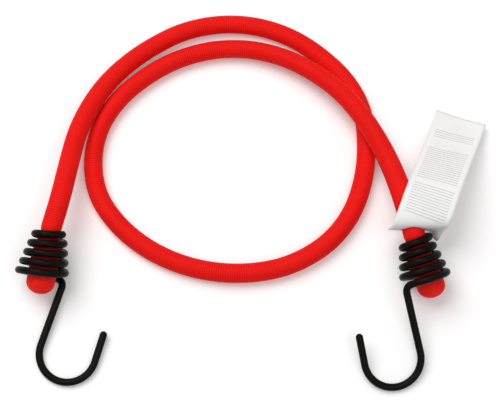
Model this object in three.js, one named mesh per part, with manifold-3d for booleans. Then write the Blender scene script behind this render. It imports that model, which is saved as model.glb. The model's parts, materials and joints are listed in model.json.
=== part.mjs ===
// Bungee cord lying on a table: a covered rubber cord in one loose loop, a coiled wire hook
// on each swollen end, and a paper tag threaded on the cord beside the right hook.
// Millimetres, +Z up. The origin lies on the table, under the middle of the loop's lower arc.

import * as THREE from 'three';
import { mergeVertices } from 'three/addons/utils/BufferGeometryUtils.js';
import Module from 'manifold-3d';

const wasm = await Module();
wasm.setup();

// Cord
const cordDiameter = 9;
const coverWall = 1.3;
const cordFlatDepth = 0.9;
const loopWidth = 132.8;
const loopDepth = 126.6;
const strandDiameter = 1.8;
const strandsAround = 6;
const innerGap = 0.3;
const cordSteps = 64;
const coverSides = 12;
const boreSides = 8;
const strandSides = 4;

// Swollen cord ends
const bulbDiameter = 13.4;
const bulbLength = 27.6;
const bulbRounding = 5.4;
const bulbSeatShare = 0.75;
const runStandoff = 4;
const runStraight = 3;
const latheSegments = 16;

// Hooks
const wireDiameter = 3.5;
const coilPitch = 4.5;
const coilGrowthPerTurn = 1.05;
const coilClearance = 0.4;
const rootBendRadius = 4;
const shankLength = 27.8;
const hookMouth = 23.3;
const tipLength = 13.2;
const hookSweep = THREE.MathUtils.degToRad(182);
const hookFlatDepth = 0.5;
const stepsPerTurn = 24;
const wireSides = 6;

// Tag
const tagWidth = 25;
const tagLength = 86.6;
const tagThickness = 0.4;
const tagCrestGap = 4.1;
const tagEndGap = 0.6;
// The lower corner beside the coil: how far it is turned out, and where the turn starts and is full
// as shares of the hole's radius
const tagCornerTurn = 7.5;
const tagTurnStart = 1.45;
const tagTurnFull = 2.3;
// The bent paper seen along its bends: distance from the hole, and height as a share of the crest
// over the cord, or below the hole as a share of the way down to the table
const tagProfile = [
  [2.4, -0.85],
  [1.1, -0.4],
  [0, 0],
  [-0.6, 0.47],
  [0.6, 0.8],
  [4, 1],
  [10, 0.98],
  [18, 0.77],
  [26, 0.35],
  [38, -0.29],
  [50, -0.76],
  [60, -0.965],
  [68, -1],
];
const tagHoleClearance = 1.1;
const tagHoleFromEdge = 12;
const tagHoleFromEnd = 9;
const tagStandoff = 6.2;
const tagHeading = THREE.MathUtils.degToRad(70);
const tagStepsAcross = 8;
const tagStepsAlong = 32;
const tagHoleSides = 24;

// Sizes that follow from the driving dimensions
const cordRadius = cordDiameter / 2;
const boreRadius = cordRadius - coverWall;
const wireRadius = wireDiameter / 2;
const bulbRadius = bulbDiameter / 2;
const coilTopRadius = cordRadius + coilClearance + wireRadius;
const coilTaper = coilGrowthPerTurn / coilPitch;
const hookRadius = hookMouth / 2 + wireRadius;
const cordRestHeight = cordRadius - cordFlatDepth;

// Each hook, angles in degrees: where its coil's first turn is centred, as shares of the loop's
// width and depth, which way it points, how far it is rolled about its coil, how many turns the
// coil has, where round the coil the wire leaves it and how far the shank leans. Then the swollen
// end in it: its length as a share, and how much of the room in the coil it is moved to one side
const hookPlaces = {
  left: {
    xShare: -0.6724,
    yShare: 0.1256,
    heading: -101,
    roll: 0,
    turns: 4.834,
    root: 58.5,
    lean: 7.8,
    bulbShare: 1.034,
    asideShare: 0,
  },
  right: {
    xShare: 0.6242,
    yShare: 0.1003,
    heading: -76,
    roll: 180,
    turns: 4.375,
    root: 45,
    lean: 0,
    bulbShare: 0.991,
    asideShare: 0.85,
  },
};

// The free cord from the left hook to the right one: shares of the loop's width and depth, and the
// height of its middle above where it lies on the table, in cord diameters
const cordRouteShares = [
  [-0.6431, 0.2409, 1.66],
  [-0.6261, 0.3318, 1.5],
  [-0.6103, 0.4344, 1.14],
  [-0.5911, 0.5332, 0.84],
  [-0.5557, 0.6319, 0.62],
  [-0.5, 0.7322, 0.44],
  [-0.4247, 0.8239, 0.22],
  [-0.3276, 0.9052, 0.06],
  [-0.2108, 0.97, 0],
  [-0.0753, 1, 0],
  [0.0602, 0.9913, 0],
  [0.1883, 0.9447, 0],
  [0.3012, 0.8641, 0],
  [0.3953, 0.7599, 0],
  [0.448, 0.6477, 0],
  [0.4623, 0.5134, 0],
  [0.4495, 0.3712, 0],
  [0.4006, 0.2283, 0],
  [0.3102, 0.1129, 0],
  [0.1657, 0.0284, 0],
  [0, 0, 0],
  [-0.1657, 0.0205, 0],
  [-0.3163, 0.0853, 0],
  [-0.4367, 0.1848, 0],
  [-0.5143, 0.3049, 0],
  [-0.5377, 0.4344, 0],
  [-0.5181, 0.5648, 0],
  [-0.4563, 0.6793, 0],
  [-0.3614, 0.7741, 0],
  [-0.241, 0.8499, 0],
  [-0.1054, 0.891, 0.04],
  [0.0301, 0.891, 0.16],
  [0.1581, 0.8515, 0.42],
  [0.2711, 0.782, 0.72],
  [0.369, 0.6935, 0.97],
  [0.4503, 0.5845, 1.08],
  [0.512, 0.4692, 1.12],
  [0.5542, 0.3633, 1.22],
  [0.5843, 0.2591, 1.38],
];

// A closed geometry as a solid for cutting
function toSolid(geometry) {
  const bare = geometry.clone();
  for (const name of Object.keys(bare.attributes)) {
    if (name !== 'position') bare.deleteAttribute(name);
  }
  const merged = mergeVertices(bare, 1e-4);
  return new wasm.Manifold(new wasm.Mesh({
    numProp: 3,
    vertProperties: new Float32Array(merged.attributes.position.array),
    triVerts: new Uint32Array(merged.index.array),
  }));
}

// A solid back as a geometry
function toGeometry(solid) {
  const mesh = solid.getMesh();
  const geometry = new THREE.BufferGeometry();
  geometry.setAttribute('position', new THREE.BufferAttribute(new Float32Array(mesh.vertProperties), 3));
  geometry.setIndex(new THREE.BufferAttribute(new Uint32Array(mesh.triVerts), 1));
  geometry.computeVertexNormals();
  return geometry;
}

// Cuts away what lies below the table, for a solid that the given group places
function cutFlat(solid, placement) {
  const size = 600;
  const below = new THREE.BoxGeometry(size, size, size);
  below.translate(0, 0, -size / 2);
  below.applyMatrix4(placement.matrixWorld.clone().invert());
  return toGeometry(solid.subtract(toSolid(below)));
}

// A regular polygon with a flat side facing each axis
function polygonPoints(radius, sides, centreX = 0, centreY = 0) {
  const points = [];
  for (let i = 0; i < sides; i += 1) {
    const angle = (2 * Math.PI * (i + 0.5)) / sides;
    points.push(new THREE.Vector2(centreX + radius * Math.cos(angle), centreY + radius * Math.sin(angle)));
  }
  return points;
}

function sweep(shape, path, steps) {
  return new THREE.ExtrudeGeometry(shape, { steps, extrudePath: path, curveSegments: 1 });
}

function material(color, roughness, metalness = 0) {
  return new THREE.MeshStandardMaterial({ color, roughness, metalness });
}

function addMesh(parent, name, geometry, look) {
  const mesh = new THREE.Mesh(geometry, look);
  mesh.name = name;
  parent.add(mesh);
}

// Hook centreline in its own frame: the coil's axis is Z with the cord above, the mouth opens
// towards +X, and the coil's first turn is centred on the origin.
// The coil runs down from its cut end, which is straight for one wire diameter.
function coilPoints(turns, rootAngle) {
  const onCoil = (turn) => {
    const angle = rootAngle + 2 * Math.PI * (turns - turn);
    const drop = coilPitch * (turn - 0.25);
    const radius = coilTopRadius + coilTaper * Math.max(drop, 0);
    return new THREE.Vector3(radius * Math.cos(angle), radius * Math.sin(angle), -drop);
  };
  const steps = Math.round(turns * stepsPerTurn);
  const points = [onCoil(-wireDiameter / (2 * Math.PI * coilTopRadius))];
  for (let i = 0; i <= steps; i += 1) {
    points.push(onCoil((turns * i) / steps));
  }
  return points;
}

// The shank, the round bend and the tip, from where the wire leaves the coil
function shankPoints(coil, lean) {
  const start = coil[coil.length - 1];
  const leaving = start.clone().sub(coil[coil.length - 2]).normalize();
  const down = new THREE.Vector3(0, 0, -1);
  const corner = start.clone().addScaledVector(leaving, rootBendRadius);
  const reach = rootBendRadius + shankLength + hookRadius;
  const sideways = new THREE.Vector3(-Math.tan(lean), -corner.y / reach, 0);
  const along = down.clone().add(sideways).normalize();
  const across = new THREE.Vector3(1, 0, 0).addScaledVector(along, -along.x).normalize();
  const shankTop = corner.clone().addScaledVector(along, rootBendRadius);
  const shankEnd = shankTop.clone().addScaledVector(along, shankLength);
  const points = new THREE.QuadraticBezierCurve3(start, corner, shankTop).getPoints(4).slice(1);
  points.push(...new THREE.LineCurve3(shankTop, shankEnd).getPoints(6).slice(1));
  const centre = shankEnd.clone().addScaledVector(across, hookRadius);
  const arcSteps = 18;
  const onArc = (angle) => centre.clone()
    .addScaledVector(across, -hookRadius * Math.cos(angle))
    .addScaledVector(along, hookRadius * Math.sin(angle));
  for (let i = 1; i <= arcSteps; i += 1) {
    points.push(onArc((hookSweep * i) / arcSteps));
  }
  const tipDirection = across.clone().multiplyScalar(Math.sin(hookSweep))
    .addScaledVector(along, Math.cos(hookSweep));
  const tip = onArc(hookSweep);
  for (const share of [0.33, 0.67, 1]) {
    points.push(tip.clone().addScaledVector(tipDirection, tipLength * share));
  }
  return points;
}

// Lowest centreline point of a hook that is rolled and tilted, below its first turn's centre
function lowest(points, roll, tilt) {
  const turn = new THREE.Matrix4().makeRotationX(tilt - Math.PI / 2)
    .multiply(new THREE.Matrix4().makeRotationZ(roll));
  let least = Infinity;
  for (const point of points) {
    least = Math.min(least, point.clone().applyMatrix4(turn).z);
  }
  return least;
}

// The tilt at which both the coil and the bend touch the table
function restingTilt(coil, shank, roll) {
  let low = 0;
  let high = Math.PI / 4;
  for (let i = 0; i < 40; i += 1) {
    const tilt = (low + high) / 2;
    if (lowest(shank, roll, tilt) > lowest(coil, roll, tilt)) low = tilt;
    else high = tilt;
  }
  return (low + high) / 2;
}

// Least clear distance between parts of a tube that aren't neighbours along it
function leastSelfGap(points, diameter) {
  const apart = 2.5 * diameter;
  let least = Infinity;
  for (let i = 0; i < points.length; i += 1) {
    let travelled = 0;
    for (let j = i + 1; j < points.length; j += 1) {
      travelled += points[j].distanceTo(points[j - 1]);
      if (travelled > apart) least = Math.min(least, points[i].distanceTo(points[j]) - diameter);
    }
  }
  return least;
}

const bungee = new THREE.Group();
const coverLook = () => material(0xd81a16, 0.75);
const rubberLook = () => material(0xd9c9a3, 0.85);
const wireLook = () => material(0x10110f, 0.42, 0.3);

// Hooks. An axis group holds what follows the coil's axis, and a rolled group in it the hook.
const axes = {};
for (const [side, place] of Object.entries(hookPlaces)) {
  const roll = THREE.MathUtils.degToRad(place.roll);
  const coil = coilPoints(place.turns, THREE.MathUtils.degToRad(place.root));
  const shank = shankPoints(coil, THREE.MathUtils.degToRad(place.lean));
  const tilt = restingTilt(coil, shank, roll);
  const height = wireRadius - hookFlatDepth - lowest(coil, roll, tilt);
  const axis = new THREE.Group();
  axis.position.set(place.xShare * loopWidth, place.yShare * loopDepth, height);
  axis.rotation.set(tilt - Math.PI / 2, 0, THREE.MathUtils.degToRad(place.heading + 90), 'ZYX');
  const rolled = new THREE.Group();
  rolled.rotation.z = roll;
  axis.add(rolled);
  bungee.add(axis);
  bungee.updateMatrixWorld(true);
  axes[side] = axis;

  const path = new THREE.CatmullRomCurve3([...coil, ...shank]);
  const turnLength = 2 * Math.PI * (coilTopRadius + (coilGrowthPerTurn * place.turns) / 2);
  const steps = Math.round((path.getLength() / turnLength) * stepsPerTurn);
  const wire = sweep(new THREE.Shape(polygonPoints(wireRadius, wireSides)), path, steps);
  const gap = leastSelfGap(path.getSpacedPoints(steps * 3), wireDiameter);
  console.log(`${side}_hook: least gap of the wire to itself ${gap.toFixed(2)} mm`);
  const tip = shank[shank.length - 1];
  const roundEnd = new THREE.SphereGeometry(wireRadius, 2 * wireSides, wireSides);
  roundEnd.translate(tip.x, tip.y, tip.z);
  addMesh(rolled, `${side}_hook`, cutFlat(toSolid(wire).add(toSolid(roundEnd)), rolled), wireLook());
}

// Cord: the cover's free stretch between the two coils, with the rubber strands in its bore
const onAxis = (side, distance) => axes[side].localToWorld(new THREE.Vector3(0, 0, distance));
const cordPath = new THREE.CatmullRomCurve3([
  onAxis('left', runStandoff),
  onAxis('left', runStandoff + runStraight),
  ...cordRouteShares.map(([across, up, lift]) => (
    new THREE.Vector3(across * loopWidth, up * loopDepth, cordRestHeight + lift * cordDiameter)
  )),
  onAxis('right', runStandoff + runStraight),
  onAxis('right', runStandoff),
]);
cordPath.arcLengthDivisions = 1000;
const cordGap = leastSelfGap(cordPath.getSpacedPoints(cordSteps * 6), cordDiameter);
const freeLength = cordPath.getLength();
console.log(`cord: free length ${freeLength.toFixed(1)} mm, least gap to itself ${cordGap.toFixed(2)} mm`);

const coverSection = new THREE.Shape(polygonPoints(cordRadius, coverSides));
coverSection.holes.push(new THREE.Path(polygonPoints(boreRadius, boreSides)));
const cover = toSolid(sweep(coverSection, cordPath, cordSteps));
addMesh(bungee, 'cord_cover', cutFlat(cover, bungee), coverLook());

const strandRing = boreRadius - innerGap - strandDiameter / 2;
for (let i = 0; i <= strandsAround; i += 1) {
  const ring = i === 0 ? 0 : strandRing;
  const angle = (2 * Math.PI * i) / strandsAround;
  const centreX = ring * Math.cos(angle);
  const centreY = ring * Math.sin(angle);
  const section = new THREE.Shape(polygonPoints(strandDiameter / 2, strandSides, centreX, centreY));
  addMesh(bungee, `core_strand_${i + 1}`, sweep(section, cordPath, cordSteps), rubberLook());
}

// How far down its axis a swollen end has widened, is seated in the coil and starts to round off
function bulbDrops(place) {
  const flareEnd = (bulbRadius - cordRadius) / coilTaper;
  const roundStart = place.bulbShare * bulbLength - bulbRounding;
  return { flareEnd, seat: THREE.MathUtils.lerp(flareEnd, roundStart, bulbSeatShare), roundStart };
}

// Half profile of a swollen end, drawn in by an inset: it widens with the coil and ends round
function bulbProfile(place, inset) {
  const { flareEnd, seat, roundStart } = bulbDrops(place);
  const points = [];
  const arcSteps = 5;
  for (let i = 0; i <= arcSteps; i += 1) {
    const angle = (Math.PI / 2) * (i / arcSteps);
    const radius = (bulbRadius - inset) * Math.sin(angle);
    points.push(new THREE.Vector2(radius, -roundStart - (bulbRounding - inset) * Math.cos(angle)));
  }
  points.push(new THREE.Vector2(bulbRadius - inset, -seat));
  points.push(new THREE.Vector2(bulbRadius - inset, -flareEnd));
  points.push(new THREE.Vector2(cordRadius - inset, 0));
  points.push(new THREE.Vector2(cordRadius - inset, runStandoff - innerGap));
  return points;
}

// A turned solid about the coil's axis, moved to one side where the coil is wider than it is
function lathe(place, points) {
  const { flareEnd, seat } = bulbDrops(place);
  const geometry = new THREE.LatheGeometry(points, latheSegments);
  geometry.rotateX(Math.PI / 2);
  const turned = geometry.attributes.position;
  for (let i = 0; i < turned.count; i += 1) {
    const down = THREE.MathUtils.clamp(-turned.getZ(i), flareEnd, seat);
    turned.setX(i, turned.getX(i) + place.asideShare * coilTaper * (down - flareEnd));
  }
  return toGeometry(toSolid(geometry));
}

for (const [side, axis] of Object.entries(axes)) {
  const place = hookPlaces[side];
  const cup = [...bulbProfile(place, 0), ...bulbProfile(place, coverWall).reverse()];
  addMesh(axis, `${side}_cord_end`, lathe(place, cup), coverLook());
  const core = [...bulbProfile(place, coverWall + innerGap), new THREE.Vector2(0, runStandoff - innerGap)];
  addMesh(axis, `${side}_core_bulb`, lathe(place, core), rubberLook());
}

// Tag: a strip of paper that stands below the cord, passes round it through a hole and bends over
// it down to the table; the bends run along X, askew to the strip, and the lower corner beside the
// coil turns out towards it
const tagAt = 1 - (tagStandoff - runStandoff) / freeLength;
const tag = new THREE.Group();
tag.position.copy(cordPath.getPointAt(tagAt));
bungee.add(tag);
bungee.updateMatrixWorld(true);

const holeRadius = cordRadius + tagHoleClearance;
const crest = cordRadius + tagCrestGap;
const drop = tag.position.z - tagEndGap;
const fold = new THREE.SplineCurve(
  tagProfile.map(([along, share]) => new THREE.Vector2(along, share * (share > 0 ? crest : drop))),
);
const foldLength = fold.getLength();
const holeKnot = tagProfile.findIndex(([along]) => along === 0);
const lengths = fold.getLengths(20 * (tagProfile.length - 1));
const strip = new THREE.BoxGeometry(tagWidth, tagLength, tagThickness, tagStepsAcross, tagStepsAlong, 1);
strip.translate(tagWidth / 2 - tagHoleFromEdge, tagLength / 2 - tagHoleFromEnd, 0);
const flat = strip.attributes.position;
for (let i = 0; i < flat.count; i += 1) {
  const across = flat.getX(i);
  const along = flat.getY(i);
  const over = along * Math.sin(tagHeading) - across * Math.cos(tagHeading);
  const aside = along * Math.cos(tagHeading) + across * Math.sin(tagHeading);
  const length = lengths[20 * holeKnot] + over;
  const share = THREE.MathUtils.clamp(length / foldLength, 0, 1);
  const tangent = fold.getTangentAt(share);
  const middle = fold.getPointAt(share).addScaledVector(tangent, length - share * foldLength);
  middle.addScaledVector(new THREE.Vector2(-tangent.y, tangent.x), flat.getZ(i));
  const beside = THREE.MathUtils.smoothstep(aside, tagTurnStart * holeRadius, tagTurnFull * holeRadius);
  const below = THREE.MathUtils.smoothstep(-over, -tagCrestGap, tagHoleFromEnd);
  flat.setXYZ(i, aside, middle.x - tagCornerTurn * beside * below, middle.y);
}

const holeCutter = new THREE.CylinderGeometry(holeRadius, holeRadius, 2 * holeRadius, tagHoleSides);
const alongCord = new THREE.Quaternion();
alongCord.setFromUnitVectors(new THREE.Vector3(0, 1, 0), cordPath.getTangentAt(tagAt));
holeCutter.applyQuaternion(alongCord);
addMesh(tag, 'tag', toGeometry(toSolid(strip).subtract(toSolid(holeCutter))), material(0xf4f3ee, 0.8));

export default bungee;
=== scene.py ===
import json
import math

import bpy
import numpy as np
from mathutils import Matrix, Vector


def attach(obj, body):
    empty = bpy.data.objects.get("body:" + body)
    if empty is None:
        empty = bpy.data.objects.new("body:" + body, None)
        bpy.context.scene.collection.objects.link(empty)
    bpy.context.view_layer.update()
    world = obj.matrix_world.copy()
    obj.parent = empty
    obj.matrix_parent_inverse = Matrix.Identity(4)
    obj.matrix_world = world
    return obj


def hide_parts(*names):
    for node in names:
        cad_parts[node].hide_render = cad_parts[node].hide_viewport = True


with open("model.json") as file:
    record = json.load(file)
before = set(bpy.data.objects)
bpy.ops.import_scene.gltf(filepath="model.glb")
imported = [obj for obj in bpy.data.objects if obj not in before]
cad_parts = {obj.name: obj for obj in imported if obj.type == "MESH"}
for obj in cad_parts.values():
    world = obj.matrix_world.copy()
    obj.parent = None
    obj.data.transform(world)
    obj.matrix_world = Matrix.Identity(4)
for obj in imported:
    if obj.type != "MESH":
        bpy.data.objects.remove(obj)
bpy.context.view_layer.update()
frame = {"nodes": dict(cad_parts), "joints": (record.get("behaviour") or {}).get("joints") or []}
joints = {joint["name"]: joint for joint in frame["joints"]}

# Lengths are in metres, except where a name ends in MM
MM_PER_METRE = 1000

# Camera
CAMERA_LOCATION = (0.00452, -0.14692, 0.68115)
CAMERA_TILT = math.radians(15)
CAMERA_LENS_MM = 105
CAMERA_SENSOR_MM = 36
CAMERA_CLIP = (0.01, 20)

# Cord: its thickness, the height of its middle on the table, the distance from each coil's first
# turn at which its free run starts, the straight piece there at the right end, and the steps over
# which its line is evened out
CORD_DIAMETER = 0.009
CORD_REST_HEIGHT = 0.0036
RUN_STANDOFF = 0.002
RUN_STRAIGHT = 0.005
LINE_BLEND = np.linspace(-0.004, 0.004, 33)
COVER_SIDES = 32

# Swollen ends of the cord: from its flare to its seat an end leans aside by a share of the coil's
# taper
BULB_RADIUS = 0.0067
BULB_LENGTH = 0.0276
BULB_ROUNDING = 0.0054
BULB_SEAT_SHARE = 0.75
BULB_EASE_SHARE = 0.35
BULBS = {
    "left": {"length_share": 1.034, "aside_share": 0},
    "right": {"length_share": 0.991, "aside_share": 0.85},
}
CAP_RINGS = 12
CAP_FIRST_ANGLE = 0.06

# How much wider in radius the free cord is beside the coils and in the middle of its run
FREE_ENDS = {
    "left": {"swell": 0.00045, "reach": 0.15},
    "right": {"swell": 0.0007, "reach": 0.105},
}
FREE_END_RISE = 0.0035
MIDDLE_SWELL = 0.0002
MIDDLE_REACH = 0.125
MIDDLE_FADE = 0.06

# Cross ribs of the woven cover
RIB_PITCH = 0.0011
RIB_DEPTH = 0.0001
RIB_SHARPNESS = 0.6
TIP_SMOOTH = 0.0085
TIP_SMOOTH_FADE = 0.0025
RINGS_PER_RIB = 4
RING_STEP = RIB_PITCH / RINGS_PER_RIB

# The free cord from the left hook to the right one: x, y, and the height of its middle above where
# it lies on the table in cord diameters
CORD_ROUTE = [
    (-0.0854, 0.0305, 1.66), (-0.08315, 0.0420, 1.50), (-0.08105, 0.0550, 1.14),
    (-0.0785, 0.0675, 0.84), (-0.0738, 0.0800, 0.62), (-0.0664, 0.0927, 0.44),
    (-0.0564, 0.1043, 0.22), (-0.0435, 0.1146, 0.06), (-0.0280, 0.1228, 0),
    (-0.0100, 0.1266, 0), (0.0080, 0.1255, 0), (0.0250, 0.1196, 0),
    (0.0400, 0.1094, 0), (0.0525, 0.0962, 0), (0.0595, 0.0820, 0),
    (0.0614, 0.0650, 0), (0.0597, 0.0470, 0), (0.0532, 0.0289, 0),
    (0.0412, 0.0143, 0), (0.0220, 0.0036, 0), (0, 0, 0),
    (-0.0220, 0.0026, 0), (-0.0420, 0.0108, 0), (-0.0580, 0.0234, 0),
    (-0.0683, 0.0386, 0), (-0.0714, 0.0550, 0), (-0.0688, 0.0715, 0),
    (-0.0606, 0.0860, 0), (-0.0480, 0.0980, 0), (-0.0320, 0.1076, 0),
    (-0.0140, 0.1128, 0.04), (0.0040, 0.1128, 0.16), (0.0210, 0.1078, 0.42),
    (0.0360, 0.0990, 0.72), (0.0490, 0.0878, 0.97), (0.0598, 0.0740, 1.08),
    (0.0680, 0.0594, 1.12), (0.0736, 0.0460, 1.22), (0.0776, 0.0328, 1.38),
]

# Hooks: start and turns count the coil's turns, the other values of each hook are in degrees
WIRE_RADIUS = 0.00175
WIRE_SIDES = 24
WIRE_CUT_SHARE = 0.8
COIL_PITCH = 0.0045
COIL_GROWTH_PER_TURN = 0.00105
COIL_TOP_RADIUS = 0.00665
COIL_ORIGIN_TURN = 0.25
COIL_TAPER = COIL_GROWTH_PER_TURN / COIL_PITCH
ROOT_BEND_RADIUS = 0.004
SHANK_LENGTH = 0.0278
HOOK_RADIUS = 0.0134
HOOK_SWEEP = math.radians(182)
TIP_LENGTH = 0.0132
TIP_LAST_ANGLE = math.pi / 2 - 0.08
HOOKS = {
    "left": {"heading": -101, "roll": 0, "start": 0.02, "turns": 4.834, "root": 58.5, "lean": 7.8},
    "right": {"heading": -76, "roll": 180, "start": -0.08, "turns": 4.375, "root": 45, "lean": 0},
}
STEPS_PER_TURN = 48
BEND_STEPS = 12
SHANK_STEPS = 19
SWEEP_STEPS = 48
TIP_STEPS = 9
TIP_RINGS = 7

# Tag: its sheet, its hole and its bends
TAG_WIDTH = 0.025
TAG_LENGTH = 0.0866
TAG_THICKNESS = 0.00035
TAG_HOLE_FROM_EDGE = 0.012
TAG_HOLE_FROM_END = 0.009
TAG_HOLE_RADIUS = 0.0056
TAG_CREST_GAP = 0.0041
TAG_CREST = CORD_DIAMETER / 2 + TAG_CREST_GAP
TAG_END_GAP = 0.0006
TAG_CORNER_RADIUS = 0.009
TAG_CORNER_TURN = 0.0075
TAG_HEADING = math.radians(70)
TAG_CURL = 0.0011
TAG_CURL_START = 0.03
TAG_CURL_RISE = 0.04
TAG_CELLS = 12
TAG_RINGS = 6
FOLD_STEPS = 60
HOLE_EDGE_LIMIT = 0.97
HOLE_EDGE_HALVINGS = 24

# Where the corner beside the hole starts to turn and where it is turned in full, in hole radii
TAG_TURN_START = 1.45
TAG_TURN_FULL = 2.3

# The tag's fold from below its hole to its far end: distance along, and height as a share of the
# crest above the hole or of the drop to the table below it
TAG_PROFILE = [
    (0.0024, -0.85), (0.0011, -0.4), (0, 0), (-0.0006, 0.47), (0.0006, 0.8), (0.004, 1),
    (0.010, 0.98), (0.018, 0.77), (0.026, 0.35), (0.038, -0.29), (0.050, -0.76),
    (0.060, -0.965), (0.068, -1),
]

# Woven cover: places are distances from the cord's tips
YARNS_ROUND = 24
YARN_SLANT = 0.5
YARN_LOW = 0.65
YARN_SHIFT = 0.5
ARCH_POWER = 0.5
# The swollen tips are smooth and blotchy, and also painted lighter as painted light
COVER_TIP_MM = (11.0, 8.5)
COVER_TIP_SMOOTH_AND_LIGHT = 0.9
COVER_BLOTCH_AND_LIGHT = (-0.35, 0.75)
# Painted shade: the cover is darker inside the coils, between the wire's turns, where the coil
# shades it
COVER_COIL_SHADE_START_MM = (9.5, 11.5)
COVER_COIL_SHADE_END_MM = (30.0, 26.5)
COVER_COIL_SHADE_DEPTH = 0.55
COVER_COLOURS = [
    (0.0, (0.30, 0.0014, 0.0022)),
    (0.3, (0.62, 0.0040, 0.0034)),
    (0.6, (0.86, 0.0085, 0.0062)),
    (0.85, (0.93, 0.0140, 0.0100)),
    (1.0, (0.99, 0.0230, 0.0150)),
]
SHEEN_TINT = (1.0, 0.12, 0.1, 1)

# Coat of the hooks, paper of the tag with its ruled lines, and rubber of the core
COAT_COLOURS = [
    (0.3, (0.0014, 0.0015, 0.0012)),
    (0.55, (0.0024, 0.0025, 0.0020)),
    (0.8, (0.0058, 0.0058, 0.0050)),
]
PAPER_COLOURS = [
    (0.25, (0.84, 0.837, 0.82)),
    (0.5, (0.905, 0.903, 0.893)),
    (0.8, (0.94, 0.94, 0.932)),
]
INK_COLOUR = (0.2, 0.2, 0.21, 1)
RULE_PITCH_MM = 1.45
RULE_SHARE = 0.26
RULE_MIDDLE_MM = 0.5
RULE_HALF_LENGTH_MM = 9.8
RULE_BLOCKS_MM = [(20.3, 8.7), (43.5, 11.6), (65.25, 2.9)]
RUBBER_COLOURS = [
    (0.3, (0.52, 0.40, 0.23)),
    (0.55, (0.66, 0.55, 0.36)),
    (0.8, (0.74, 0.66, 0.48)),
]

# Floor: its glow where it is seen rises with the distance from the object, because less light
# falls on it there
FLOOR_HEIGHT = -0.0005
FLOOR_GAP = 0.0001
FLOOR_HALF_SIDE = 6.0
FLOOR_COLOUR = (0.97, 0.97, 0.97, 1)
FLOOR_GLOW = (0.12, 0.72)
FLOOR_GLOW_RISE = (0.4, 1.7)

# Light: the world's level counts for the rays that light the object
WHITE = (1, 1, 1, 1)
WORLD_LIGHT = 0.27
LIGHT_TARGET = (0.0, 0.04, 0.0)
LAMPS = {
    "key": {"place": (-0.5, 0.62, 1.4), "size": 1.2, "power": 16.5},
    "fill": {"place": (0.35, -0.35, 1.4), "size": 1.0, "power": 5.0},
}


def unit(vector):
    vector = np.asarray(vector, float)
    return vector / np.linalg.norm(vector)


def smooth_step(share):
    share = min(max(share, 0), 1)
    return share * share * (3 - 2 * share)


def lengths_along(line):
    return np.concatenate([[0], np.cumsum(np.linalg.norm(np.diff(line, axis=0), axis=1))])


def add_camera():
    data = bpy.data.cameras.new("camera")
    data.sensor_width = CAMERA_SENSOR_MM
    data.lens = CAMERA_LENS_MM
    data.clip_start, data.clip_end = CAMERA_CLIP
    camera = bpy.data.objects.new("camera", data)
    camera.location = CAMERA_LOCATION
    camera.rotation_euler = (CAMERA_TILT, 0, 0)
    bpy.context.scene.collection.objects.link(camera)
    bpy.context.scene.camera = camera


def smooth_line(points, step):
    """A centripetal spline through the points, as points about a step apart."""
    points = np.asarray(points, float)
    padded = np.vstack([2 * points[0] - points[1], points, 2 * points[-1] - points[-2]])
    line = []
    for i in range(len(points) - 1):
        p0, p1, p2, p3 = padded[i:i + 4]
        pairs = ((p0, p1), (p1, p2), (p2, p3))
        d0, d1, d2 = (math.sqrt(np.linalg.norm(b - a)) for a, b in pairs)
        t1 = ((p1 - p0) / d0 - (p2 - p0) / (d0 + d1) + (p2 - p1) / d1) * d1
        t2 = ((p2 - p1) / d1 - (p3 - p1) / (d1 + d2) + (p3 - p2) / d2) * d1
        count = max(2, round(np.linalg.norm(p2 - p1) / step))
        t = np.linspace(0, 1, count, endpoint=False)[:, None]
        squared = 3 * (p2 - p1) - 2 * t1 - t2
        cubed = 2 * (p1 - p2) + t1 + t2
        line.append(p1 + t1 * t + squared * t**2 + cubed * t**3)
    return np.vstack([*line, points[-1:]])


def carried_frames(line):
    """Two directions across a line at each of its points, carried along it without twist. The line
    doesn't start upright."""
    tangents = np.gradient(line, axis=0)
    tangents /= np.linalg.norm(tangents, axis=1)[:, None]
    across = [unit(np.cross(tangents[0], (0, 0, 1)))]
    for tangent in tangents[1:]:
        across.append(unit(across[-1] - tangent * np.dot(across[-1], tangent)))
    across = np.array(across)
    return across, np.cross(tangents, across)


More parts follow.
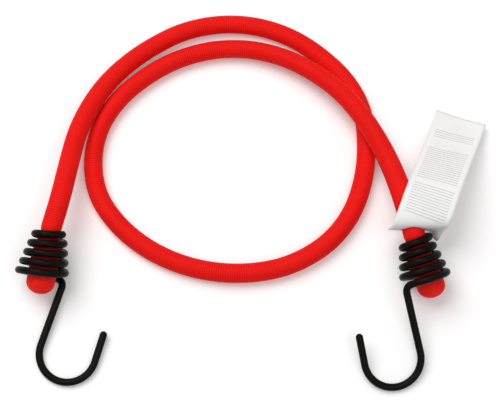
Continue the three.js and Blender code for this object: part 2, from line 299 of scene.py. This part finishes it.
def add_tube(name, line, radii, sides):
    """A closed tube of varying radius, flat where it lies on the floor, with a map of millimetres
    along it and turns round it."""
    line = np.asarray(line, float)
    radii = np.asarray(radii, float)
    across, over = carried_frames(line)
    angles = 2 * math.pi * np.arange(sides) / sides
    cosines = np.cos(angles)[None, :, None]
    sines = np.sin(angles)[None, :, None]
    ring = cosines * across[:, None] + sines * over[:, None]
    points = (line[:, None] + radii[:, None, None] * ring).reshape(-1, 3)
    count = len(line)
    points = np.vstack([points, line[0], line[-1]])
    points[:, 2] = np.maximum(points[:, 2], FLOOR_HEIGHT + FLOOR_GAP)
    along = lengths_along(line) * MM_PER_METRE
    faces = []
    places = []
    for i in range(count - 1):
        this, following = i * sides, (i + 1) * sides
        for j in range(sides):
            k = (j + 1) % sides
            faces.append((this + j, this + k, following + k, following + j))
            places += [(along[i], j / sides), (along[i], (j + 1) / sides)]
            places += [(along[i + 1], (j + 1) / sides), (along[i + 1], j / sides)]
    last = (count - 1) * sides
    for j in range(sides):
        k = (j + 1) % sides
        start, middle, end = j / sides, (j + 0.5) / sides, (j + 1) / sides
        faces.append((k, j, count * sides))
        places += [(along[0], end), (along[0], start), (along[0], middle)]
        faces.append((last + j, last + k, count * sides + 1))
        places += [(along[-1], start), (along[-1], end), (along[-1], middle)]
    mesh = bpy.data.meshes.new(name)
    mesh.from_pydata(points.tolist(), [], faces)
    layer = mesh.uv_layers.new(name="surface")
    layer.data.foreach_set("uv", np.array(places, np.float32).ravel())
    mesh.polygons.foreach_set("use_smooth", [True] * len(faces))
    mesh.update()
    piece = bpy.data.objects.new(name, mesh)
    bpy.context.scene.collection.objects.link(piece)
    return piece


def on_axis(side, distance):
    """A point on a coil's axis at a distance from its first turn, towards the free cord."""
    joint = joints[f"{side}_swivel"]
    return np.array(joint["pos_m"]) + unit(joint["axis"]) * distance


def free_end_swell(side, distance):
    """How much wider in radius the cord is at a distance from the coil's first turn."""
    end = FREE_ENDS[side]
    rise = smooth_step(distance / FREE_END_RISE)
    return end["swell"] * rise * smooth_step(1 - distance / end["reach"])


def bulb_line(side):
    """A swollen end's middle and its radius from its tip to the cord."""
    flare_end = (BULB_RADIUS - CORD_DIAMETER / 2) / COIL_TAPER
    round_start = BULBS[side]["length_share"] * BULB_LENGTH - BULB_ROUNDING
    seat = flare_end + BULB_SEAT_SHARE * (round_start - flare_end)
    aside = unit(np.cross(joints[f"{side}_swivel"]["axis"], (0, 0, 1)))
    slope = BULBS[side]["aside_share"] * COIL_TAPER
    angles = np.linspace(CAP_FIRST_ANGLE, math.pi / 2, CAP_RINGS)
    drops = [
        *(round_start + BULB_ROUNDING * np.cos(angles)),
        *np.arange(round_start - RING_STEP, -RUN_STANDOFF, -RING_STEP),
    ]
    points = []
    radii = []
    for drop in drops:
        below_flare = min(max(drop, flare_end), seat) - flare_end
        points.append(on_axis(side, -drop) + slope * below_flare * aside)
        share = min(max(drop / flare_end, 0), 1)
        ease = BULB_EASE_SHARE * smooth_step(share) + (1 - BULB_EASE_SHARE) * share
        rounding = math.sqrt(1 - (max(drop - round_start, 0) / BULB_ROUNDING) ** 2)
        cord_radius = CORD_DIAMETER / 2 + free_end_swell(side, -drop)
        radii.append((cord_radius + (BULB_RADIUS - cord_radius) * ease) * rounding)
    return points, radii


def cord_line():
    """The cord's middle and its radius, ribbed, from the left end's tip to the right one's."""
    run = smooth_line(
        [
            on_axis("left", RUN_STANDOFF),
            *[(x, y, CORD_REST_HEIGHT + lift * CORD_DIAMETER) for x, y, lift in CORD_ROUTE],
            on_axis("right", RUN_STANDOFF + RUN_STRAIGHT),
            on_axis("right", RUN_STANDOFF),
        ],
        RING_STEP,
    )
    along = lengths_along(run)
    run_radii = [
        CORD_DIAMETER / 2
        + free_end_swell("left", RUN_STANDOFF + place)
        + free_end_swell("right", RUN_STANDOFF + along[-1] - place)
        + MIDDLE_SWELL * smooth_step((MIDDLE_REACH - abs(place - along[-1] / 2)) / MIDDLE_FADE)
        for place in along
    ]
    left_points, left_radii = bulb_line("left")
    right_points, right_radii = bulb_line("right")
    line = np.vstack([left_points, run, right_points[::-1]])
    radii = np.array([*left_radii, *run_radii, *reversed(right_radii)])
    along = lengths_along(line)
    first = math.ceil(along[CAP_RINGS] / RING_STEP)
    last = math.floor(along[-1 - CAP_RINGS] / RING_STEP)
    places = RING_STEP * np.arange(first, last + 1)
    near = places[:, None] + LINE_BLEND
    blended = [np.interp(near, along, line[:, axis]).mean(1) for axis in range(3)]
    ribs = np.abs(np.sin(math.pi * places / RIB_PITCH)) ** RIB_SHARPNESS
    from_tip = np.minimum(places, along[-1] - places)
    depth = RIB_DEPTH * np.clip((from_tip - TIP_SMOOTH) / TIP_SMOOTH_FADE, 0, 1)
    ribbed_radii = np.interp(places, along, radii) - depth * (1 - ribs)
    line = np.vstack([line[:CAP_RINGS], np.stack(blended, axis=1), line[-CAP_RINGS:]])
    return line, np.concatenate([radii[:CAP_RINGS], ribbed_radii, radii[-CAP_RINGS:]])


def add_cord():
    """The cord's sleeve with both swollen ends, and its length."""
    line, radii = cord_line()
    length = float(lengths_along(line)[-1])
    sleeve = add_tube("cord_sleeve", line, radii, COVER_SIDES)
    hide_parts("cord_cover", "left_cord_end", "right_cord_end")
    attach(sleeve, "cord")
    return sleeve, length


def hook_line(place):
    """A hook's middle line in its own frame: coil axis along Z with the cord above, mouth to +X."""
    turns = place["turns"]
    root = math.radians(place["root"])

    def on_coil(turn):
        angle = root + 2 * math.pi * (turns - turn)
        drop = COIL_PITCH * (turn - COIL_ORIGIN_TURN)
        radius = COIL_TOP_RADIUS + COIL_TAPER * max(drop, 0)
        return np.array((radius * math.cos(angle), radius * math.sin(angle), -drop))

    def spaced(steps, end=1):
        return np.linspace(0, end, steps + 1)[1:, None]

    coil_turns = np.linspace(place["start"], turns, round(STEPS_PER_TURN * turns))
    coil = [on_coil(turn) for turn in coil_turns]
    start = coil[-1]
    leaving = unit(coil[-1] - coil[-2])
    corner = start + ROOT_BEND_RADIUS * leaving
    reach = ROOT_BEND_RADIUS + SHANK_LENGTH + HOOK_RADIUS
    along = unit((-math.tan(math.radians(place["lean"])), -corner[1] / reach, -1))
    across = unit(np.array((1, 0, 0)) - along * along[0])
    shank_top = corner + ROOT_BEND_RADIUS * along
    shank_end = shank_top + SHANK_LENGTH * along
    t = spaced(BEND_STEPS)
    bend = (1 - t) ** 2 * start + 2 * t * (1 - t) * corner + t**2 * shank_top
    shank = shank_top + spaced(SHANK_STEPS) * (shank_end - shank_top)
    centre = shank_end + HOOK_RADIUS * across
    sweep = spaced(SWEEP_STEPS, HOOK_SWEEP)
    arc = centre - HOOK_RADIUS * np.cos(sweep) * across + HOOK_RADIUS * np.sin(sweep) * along
    tip_direction = math.sin(HOOK_SWEEP) * across + math.cos(HOOK_SWEEP) * along
    tip = arc[-1] + spaced(TIP_STEPS, TIP_LENGTH) * tip_direction
    angles = spaced(TIP_RINGS, TIP_LAST_ANGLE)
    rounded = tip[-1] + WIRE_RADIUS * np.sin(angles) * tip_direction
    line = np.vstack([coil, bend, shank, arc, tip, rounded])
    radii = np.full(len(line), WIRE_RADIUS)
    radii[-TIP_RINGS:] = WIRE_RADIUS * np.cos(angles[:, 0])
    radii[0] = WIRE_CUT_SHARE * WIRE_RADIUS
    return line, radii


def add_hook(side):
    place = HOOKS[side]
    joint = joints[f"{side}_swivel"]
    tilt = math.asin(joint["axis"][2])
    turn = (
        Matrix.Rotation(math.radians(place["heading"] + 90), 3, "Z")
        @ Matrix.Rotation(tilt - math.pi / 2, 3, "X")
        @ Matrix.Rotation(math.radians(place["roll"]), 3, "Z")
    )
    line, radii = hook_line(place)
    line = line @ np.array(turn).T + np.array(joint["pos_m"])
    wire = add_tube(f"{side}_hook_wire", line, radii, WIRE_SIDES)
    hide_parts(f"{side}_hook")
    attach(wire, f"{side}_hook")
    return wire


def tag_fold(hole_height):
    """The tag's bent middle line: lengths along it from the hole, and points in (along, up)."""
    down = hole_height - TAG_END_GAP
    knots = [(along, share * (TAG_CREST if share > 0 else down)) for along, share in TAG_PROFILE]
    knots = np.array(knots)
    padded = np.vstack([knots[0], knots, knots[-1]])
    points = []
    t = np.linspace(0, 1, FOLD_STEPS, endpoint=False)[:, None]
    for i in range(len(knots) - 1):
        p0, p1, p2, p3 = padded[i:i + 4]
        v0 = (p2 - p0) / 2
        v1 = (p3 - p1) / 2
        cubed = 2 * p1 - 2 * p2 + v0 + v1
        squared = 3 * p2 - 3 * p1 - 2 * v0 - v1
        points.append(cubed * t**3 + squared * t**2 + v0 * t + p1)
    points = np.vstack([*points, knots[-1:]])
    lengths = lengths_along(points)
    hole = FOLD_STEPS * [along for along, _ in TAG_PROFILE].index(0)
    return lengths - lengths[hole], points


def tag_bend(hole):
    """A function from a point of the flat tag, measured from its hole, to its place."""
    lengths, fold = tag_fold(hole[2])

    def bent(across, along):
        over = along * math.sin(TAG_HEADING) - across * math.cos(TAG_HEADING)
        aside = along * math.cos(TAG_HEADING) + across * math.sin(TAG_HEADING)
        y = np.interp(over, lengths, fold[:, 0])
        z = np.interp(over, lengths, fold[:, 1])
        curled = min(max((along - TAG_CURL_START) / TAG_CURL_RISE, 0), 1)
        curl = TAG_CURL * (across / (TAG_WIDTH / 2)) ** 2 * curled
        beside = (aside / TAG_HOLE_RADIUS - TAG_TURN_START) / (TAG_TURN_FULL - TAG_TURN_START)
        below = (TAG_CREST_GAP - over) / (TAG_CREST_GAP + TAG_HOLE_FROM_END)
        turned = TAG_CORNER_TURN * smooth_step(beside) * smooth_step(below)
        return hole + np.array((aside, y - turned, z + curl))

    return bent


def tag_hole_edge(offset_at, cord_direction, angle):
    """How far from its middle the flat hole's edge lies, so that it is round when bent."""
    low, high = 0.0, TAG_HOLE_FROM_END * HOLE_EDGE_LIMIT
    for _ in range(HOLE_EDGE_HALVINGS):
        middle = (low + high) / 2
        offset = offset_at(middle * math.cos(angle), middle * math.sin(angle))
        from_axis = np.linalg.norm(offset - cord_direction * np.dot(offset, cord_direction))
        low, high = (low, middle) if from_axis > TAG_HOLE_RADIUS else (middle, high)
    return low


def tag_rounded(across, along):
    """A point of the flat tag with the tag's two lower corners rounded off."""
    for side, edge in ((-1, TAG_HOLE_FROM_EDGE), (1, TAG_WIDTH - TAG_HOLE_FROM_EDGE)):
        out = 1 - (edge - side * across) / TAG_CORNER_RADIUS
        down = 1 - (TAG_HOLE_FROM_END + along) / TAG_CORNER_RADIUS
        if out > 0 and down > 0:
            from_side = TAG_CORNER_RADIUS * (1 - out * math.sqrt(1 - down**2 / 2))
            from_end = TAG_CORNER_RADIUS * (1 - down * math.sqrt(1 - out**2 / 2))
            across = side * (edge - from_side)
            along = from_end - TAG_HOLE_FROM_END
    return across, along


def tag_grid(hole_edge):
    """The flat tag's points, measured from its hole, and its faces: a grid of cells, and rings from
    the hole's edge to the block of cells that they replace."""
    half = TAG_HOLE_FROM_END
    spacing = 2 * half / TAG_CELLS
    left = round((TAG_HOLE_FROM_EDGE - half) / spacing)
    right = round((TAG_WIDTH - TAG_HOLE_FROM_EDGE - half) / spacing)
    above = round((TAG_LENGTH - 2 * half) / spacing)
    block = [-half + spacing * i for i in range(TAG_CELLS + 1)]
    widths = list(np.linspace(-TAG_HOLE_FROM_EDGE, -half, left + 1)[:-1]) + block
    widths += list(np.linspace(half, TAG_WIDTH - TAG_HOLE_FROM_EDGE, right + 1)[1:])
    heights = block + list(np.linspace(half, TAG_LENGTH - half, above + 1)[1:])

    numbers = {}
    points = []

    def vertex(key, across, along):
        if key not in numbers:
            numbers[key] = len(points)
            points.append(tag_rounded(across, along))
        return numbers[key]

    faces = []
    for i in range(len(widths) - 1):
        for j in range(len(heights) - 1):
            if left <= i < left + TAG_CELLS and j < TAG_CELLS:
                continue
            corners = [(i, j), (i + 1, j), (i + 1, j + 1), (i, j + 1)]
            faces.append([vertex(c, widths[c[0]], heights[c[1]]) for c in corners])
    border = [(left + i, 0) for i in range(TAG_CELLS)]
    border += [(left + TAG_CELLS, j) for j in range(TAG_CELLS)]
    border += [(left + TAG_CELLS - i, TAG_CELLS) for i in range(TAG_CELLS)]
    border += [(left, TAG_CELLS - j) for j in range(TAG_CELLS)]
    spokes = []
    for k, key in enumerate(border):
        outer = np.array((widths[key[0]], heights[key[1]]))
        angle = math.atan2(outer[1], outer[0])
        inner = hole_edge(angle) * np.array((math.cos(angle), math.sin(angle)))
        spoke = []
        for ring in range(TAG_RINGS):
            place = inner + (outer - inner) * ring / TAG_RINGS
            spoke.append(vertex(("ring", k, ring), *place))
        spokes.append([*spoke, vertex(key, *outer)])
    for spoke, following in zip(spokes, spokes[1:] + spokes[:1]):
        for ring in range(TAG_RINGS):
            faces.append([spoke[ring], spoke[ring + 1], following[ring + 1], following[ring]])
    return points, faces


def add_tag():
    joint = joints["tag_turn"]
    hole = np.array(joint["pos_m"])
    cord_direction = unit(joint["axis"])
    bent = tag_bend(hole)
    points, faces = tag_grid(
        lambda angle: tag_hole_edge(lambda *flat: bent(*flat) - hole, cord_direction, angle)
    )
    mesh = bpy.data.meshes.new("tag_sheet")
    mesh.from_pydata([bent(*point).tolist() for point in points], [], faces)
    layer = mesh.uv_layers.new(name="surface")
    for loop in mesh.loops:
        across, along = points[loop.vertex_index]
        layer.data[loop.index].uv = (across * MM_PER_METRE, along * MM_PER_METRE)
    mesh.polygons.foreach_set("use_smooth", [True] * len(faces))
    mesh.update()
    sheet = bpy.data.objects.new("tag_sheet", mesh)
    bpy.context.scene.collection.objects.link(sheet)
    solid = sheet.modifiers.new("thickness", "SOLIDIFY")
    solid.thickness = TAG_THICKNESS
    solid.offset = 0
    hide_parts("tag")
    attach(sheet, "tag")
    return sheet


class Nodes:
    """Short calls for a material's nodes."""

    def __init__(self, name):
        self.material = bpy.data.materials.new(name)
        self.material.use_nodes = True
        self.tree = self.material.node_tree
        self.tree.nodes.clear()
        self.shader = self.tree.nodes.new("ShaderNodeBsdfPrincipled")
        output = self.tree.nodes.new("ShaderNodeOutputMaterial")
        self.join(self.shader.outputs["BSDF"], output.inputs["Surface"])

    def join(self, source, target):
        self.tree.links.new(source, target)

    def put(self, value, socket):
        if isinstance(value, bpy.types.NodeSocket):
            self.join(value, socket)
        else:
            socket.default_value = value

    def shade(self, **values):
        """Set or link the shader's inputs, named in lower case with underscores."""
        for name, value in values.items():
            words = ("IOR" if word == "ior" else word.capitalize() for word in name.split("_"))
            self.put(value, self.shader.inputs[" ".join(words)])

    def math(self, operation, *values):
        node = self.tree.nodes.new("ShaderNodeMath")
        node.operation = operation
        for value, socket in zip(values, node.inputs):
            self.put(value, socket)
        return node.outputs[0]

    def weighted(self, *parts):
        """The sum of values, each given with its weight."""
        total = None
        for value, weight in parts:
            part = value if weight == 1 else self.math("MULTIPLY", value, weight)
            total = part if total is None else self.math("ADD", total, part)
        return total

    def within(self, value, middle, half):
        """1 where the value is less than half away from the middle, and 0 elsewhere."""
        away = self.math("ABSOLUTE", self.math("SUBTRACT", value, middle))
        return self.math("LESS_THAN", away, half)

    def arch(self, value):
        """A full arch from 0 to 1 and back between whole numbers of the value."""
        wave = self.math("SINE", self.math("MULTIPLY", self.math("FRACT", value), math.pi))
        return self.math("POWER", wave, ARCH_POWER)

    def surface(self):
        """The piece's own map: millimetres along and turns round it, or millimetres both ways."""
        node = self.tree.nodes.new("ShaderNodeUVMap")
        node.uv_map = "surface"
        split = self.tree.nodes.new("ShaderNodeSeparateXYZ")
        self.join(node.outputs["UV"], split.inputs[0])
        return split.outputs["X"], split.outputs["Y"]

    def noise(self, scale, detail, vector=None):
        """Noise over a vector, or over the piece's own space."""
        if vector is None:
            vector = self.tree.nodes.new("ShaderNodeTexCoord").outputs["Object"]
        node = self.tree.nodes.new("ShaderNodeTexNoise")
        node.inputs["Scale"].default_value = scale
        node.inputs["Detail"].default_value = detail
        self.join(vector, node.inputs["Vector"])
        return node.outputs["Fac"]

    def stretched_noise(self, along_scale, turn_scale, detail):
        """Noise on a tube, with one scale along it and another round it."""
        along, turn = self.surface()
        point = self.tree.nodes.new("ShaderNodeCombineXYZ")
        self.join(self.math("MULTIPLY", along, along_scale), point.inputs["X"])
        self.join(self.math("MULTIPLY", turn, turn_scale), point.inputs["Y"])
        return self.noise(1.0, detail, point.outputs["Vector"])

    def spread(self, value, low, high, start=0.0, end=1.0):
        """From low to high while the value goes from start to end."""
        node = self.tree.nodes.new("ShaderNodeMapRange")
        self.put(value, node.inputs["Value"])
        node.inputs["From Min"].default_value = start
        node.inputs["From Max"].default_value = end
        node.inputs["To Min"].default_value = low
        node.inputs["To Max"].default_value = high
        return node.outputs["Result"]

    def step(self, value, low, high):
        """A smooth step from 0 at low to 1 at high, either of which may be the larger."""
        node = self.tree.nodes.new("ShaderNodeMapRange")
        node.interpolation_type = "SMOOTHSTEP"
        self.put(value, node.inputs["Value"])
        node.inputs["From Min"].default_value = min(low, high)
        node.inputs["From Max"].default_value = max(low, high)
        node.inputs["To Min"].default_value = 0.0 if low < high else 1.0
        node.inputs["To Max"].default_value = 1.0 if low < high else 0.0
        return node.outputs["Result"]

    def ramp(self, value, stops):
        node = self.tree.nodes.new("ShaderNodeValToRGB")
        elements = node.color_ramp.elements
        while len(elements) < len(stops):
            elements.new(0.5)
        for element, (position, colour) in zip(elements, stops):
            element.position = position
            element.color = (*colour, 1)
        self.join(value, node.inputs["Fac"])
        return node.outputs["Color"]

    def blend(self, share, first, second):
        """A colour from the first, where the share is 0, to the second, where it is 1."""
        node = self.tree.nodes.new("ShaderNodeMix")
        node.data_type = "RGBA"
        colours = [socket for socket in node.inputs if socket.type == "RGBA"]
        self.put(share, node.inputs["Factor"])
        self.put(first, colours[0])
        self.put(second, colours[1])
        return next(socket for socket in node.outputs if socket.type == "RGBA")

    def bump(self, height, strength, distance):
        node = self.tree.nodes.new("ShaderNodeBump")
        node.inputs["Strength"].default_value = strength
        node.inputs["Distance"].default_value = distance
        self.join(height, node.inputs["Height"])
        self.join(node.outputs["Normal"], self.shader.inputs["Normal"])


def cover_material(length):
    """Woven sleeve: ribs round the cord, each a row of short slanting yarns set like bricks. It is
    smooth, blotchy and painted lighter at the tips, and darker with painted shade inside the coils,
    between the wire's turns."""
    n = Nodes("cover_weave")
    along, turn = n.surface()
    row = n.math("DIVIDE", along, RIB_PITCH * MM_PER_METRE)
    odd = n.math("MODULO", n.math("FLOOR", row), 2.0)
    slant = n.math("MULTIPLY", n.math("FRACT", row), n.spread(odd, -YARN_SLANT, YARN_SLANT))
    shift = n.weighted((odd, YARN_SHIFT), (slant, 1))
    cell = n.weighted((turn, YARNS_ROUND), (shift, 1))
    weave = n.math("MULTIPLY", n.arch(row), n.spread(n.arch(cell), YARN_LOW, 1.0))
    other_end = n.math("SUBTRACT", length * MM_PER_METRE, along)
    from_tip = n.math("MINIMUM", along, other_end)
    tip = n.step(from_tip, *COVER_TIP_MM)
    # Painted light: at the tips the shade is lifted towards the light colours, with no ribs
    weave = n.math("MAXIMUM", weave, n.math("MULTIPLY", tip, COVER_TIP_SMOOTH_AND_LIGHT))
    fibres = n.stretched_noise(along_scale=9.0, turn_scale=60.0, detail=3.0)
    cloud = n.noise(scale=90.0, detail=2.0)
    shade = n.weighted((weave, 0.5), (fibres, 0.3), (cloud, 0.2))
    mottle = n.noise(scale=480.0, detail=3.0)
    # Blotches on the tips, mostly lighter: real blotches together with painted light
    blotch_and_light = n.math("MULTIPLY", n.spread(mottle, *COVER_BLOTCH_AND_LIGHT), tip)
    # Painted shade: darker inside the coils, between the wire's turns
    into_coil = n.step(from_tip, *COVER_COIL_SHADE_START_MM)
    painted_coil_shade = n.math("MULTIPLY", into_coil, n.step(from_tip, *COVER_COIL_SHADE_END_MM))
    shade = n.weighted((shade, 1), (blotch_and_light, 1), (painted_coil_shade, -COVER_COIL_SHADE_DEPTH))
    n.shade(
        base_color=n.ramp(shade, COVER_COLOURS),
        roughness=n.spread(fibres, 0.5, 0.72),
        specular_ior_level=0.08,
        sheen_weight=0.04,
        sheen_roughness=0.4,
        sheen_tint=SHEEN_TINT,
    )
    n.bump(n.weighted((weave, 1), (fibres, 0.25)), strength=0.4, distance=0.0001)
    return n.material


def wire_material():
    """Black coat on steel wire, slightly uneven, with faint scuffs."""
    n = Nodes("black_coat")
    orange_peel = n.noise(scale=1400.0, detail=2.0)
    cloud = n.noise(scale=120.0, detail=3.0)
    drawn = n.stretched_noise(along_scale=0.5, turn_scale=26.0, detail=4.0)
    tone = n.weighted((cloud, 0.6), (drawn, 0.4))
    n.shade(
        base_color=n.ramp(tone, COAT_COLOURS),
        roughness=n.spread(tone, 0.24, 0.5),
        specular_ior_level=0.06,
    )
    n.bump(n.weighted((orange_peel, 1), (drawn, 0.5)), strength=0.25, distance=0.00005)
    return n.material


def tag_material():
    """White matte paper: faint fibres, soft handling marks and three blocks of ruled lines."""
    n = Nodes("white_paper")
    fibres = n.noise(scale=2600.0, detail=5.0)
    cloud = n.noise(scale=70.0, detail=3.0)
    paper = n.ramp(n.weighted((cloud, 0.6), (fibres, 0.4)), PAPER_COLOURS)
    across, along = n.surface()
    line = n.math("FRACT", n.math("DIVIDE", along, RULE_PITCH_MM))
    ruled = n.math("LESS_THAN", line, RULE_SHARE)
    ruled = n.math("MULTIPLY", ruled, n.within(across, RULE_MIDDLE_MM, RULE_HALF_LENGTH_MM))
    blocks = 0.0
    for middle, half in RULE_BLOCKS_MM:
        blocks = n.math("MAXIMUM", blocks, n.within(along, middle, half))
    ink = n.math("MULTIPLY", n.math("MULTIPLY", ruled, blocks), n.spread(fibres, 0.25, 0.7))
    n.shade(base_color=n.blend(ink, paper, INK_COLOUR), roughness=n.spread(fibres, 0.62, 0.82))
    n.bump(n.weighted((fibres, 1), (cloud, 2.0)), strength=0.2, distance=0.00006)
    return n.material


def rubber_material():
    """Pale latex with a dusty, slightly mottled skin."""
    n = Nodes("latex")
    mottle = n.noise(scale=400.0, detail=4.0)
    dust = n.noise(scale=2200.0, detail=2.0)
    n.shade(base_color=n.ramp(mottle, RUBBER_COLOURS), roughness=n.spread(dust, 0.7, 0.92))
    n.bump(dust, strength=0.2, distance=0.00005)
    return n.material


def dress(piece, material):
    piece.data.materials.clear()
    piece.data.materials.append(material)


def seen_level(tree, unseen, seen):
    """One level for the rays that show a surface or the world, another for those that light."""
    rays = tree.nodes.new("ShaderNodeLightPath")
    either = rays.outputs["Is Camera Ray"]
    for name in ("Is Glossy Ray", "Is Transmission Ray"):
        larger = tree.nodes.new("ShaderNodeMath")
        larger.operation = "MAXIMUM"
        tree.links.new(either, larger.inputs[0])
        tree.links.new(rays.outputs[name], larger.inputs[1])
        either = larger.outputs[0]
    level = tree.nodes.new("ShaderNodeMapRange")
    level.inputs["To Min"].default_value = unseen
    level.inputs["To Max"].default_value = seen
    tree.links.new(either, level.inputs["Value"])
    return level.outputs["Result"]


def floor_material():
    """White matte floor that also glows where it is seen."""
    n = Nodes("floor_white")
    distance = n.tree.nodes.new("ShaderNodeVectorMath")
    distance.operation = "LENGTH"
    place = n.tree.nodes.new("ShaderNodeNewGeometry")
    n.join(place.outputs["Position"], distance.inputs[0])
    glow = n.spread(distance.outputs["Value"], *FLOOR_GLOW, *FLOOR_GLOW_RISE)
    n.shade(
        base_color=FLOOR_COLOUR,
        roughness=0.9,
        specular_ior_level=0.0,
        emission_color=WHITE,
        emission_strength=n.math("MULTIPLY", glow, seen_level(n.tree, 0.0, 1.0)),
    )
    return n.material


def add_floor():
    mesh = bpy.data.meshes.new("floor")
    side = FLOOR_HALF_SIDE
    corners = [(-side, -side), (side, -side), (side, side), (-side, side)]
    mesh.from_pydata([(x, y, FLOOR_HEIGHT) for x, y in corners], [], [(0, 1, 2, 3)])
    floor = bpy.data.objects.new("floor", mesh)
    bpy.context.scene.collection.objects.link(floor)
    mesh.materials.append(floor_material())


def add_lamp(name, place, size, power):
    data = bpy.data.lights.new(name, "AREA")
    data.shape = "DISK"
    data.size = size
    data.energy = power
    lamp = bpy.data.objects.new(name, data)
    lamp.location = place
    towards = Vector(LIGHT_TARGET) - Vector(place)
    lamp.rotation_euler = towards.to_track_quat("-Z", "Y").to_euler()
    bpy.context.scene.collection.objects.link(lamp)


def add_light():
    world = bpy.data.worlds.new("studio")
    bpy.context.scene.world = world
    world.use_nodes = True
    tree = world.node_tree
    background = tree.nodes["Background"]
    background.inputs["Color"].default_value = WHITE
    tree.links.new(seen_level(tree, WORLD_LIGHT, 1.0), background.inputs["Strength"])
    for name, lamp in LAMPS.items():
        add_lamp(name, **lamp)


bpy.context.scene.view_settings.view_transform = "Standard"
add_camera()
cover, cover_length = add_cord()
wires = [add_hook(side) for side in HOOKS]
tag = add_tag()

dress(cover, cover_material(cover_length))
coat = wire_material()
for wire in wires:
    dress(wire, coat)
dress(tag, tag_material())
latex = rubber_material()
for node, piece in frame["nodes"].items():
    if node.startswith("core_strand_") or node.endswith("_core_bulb"):
        dress(piece, latex)

add_floor()
add_light()
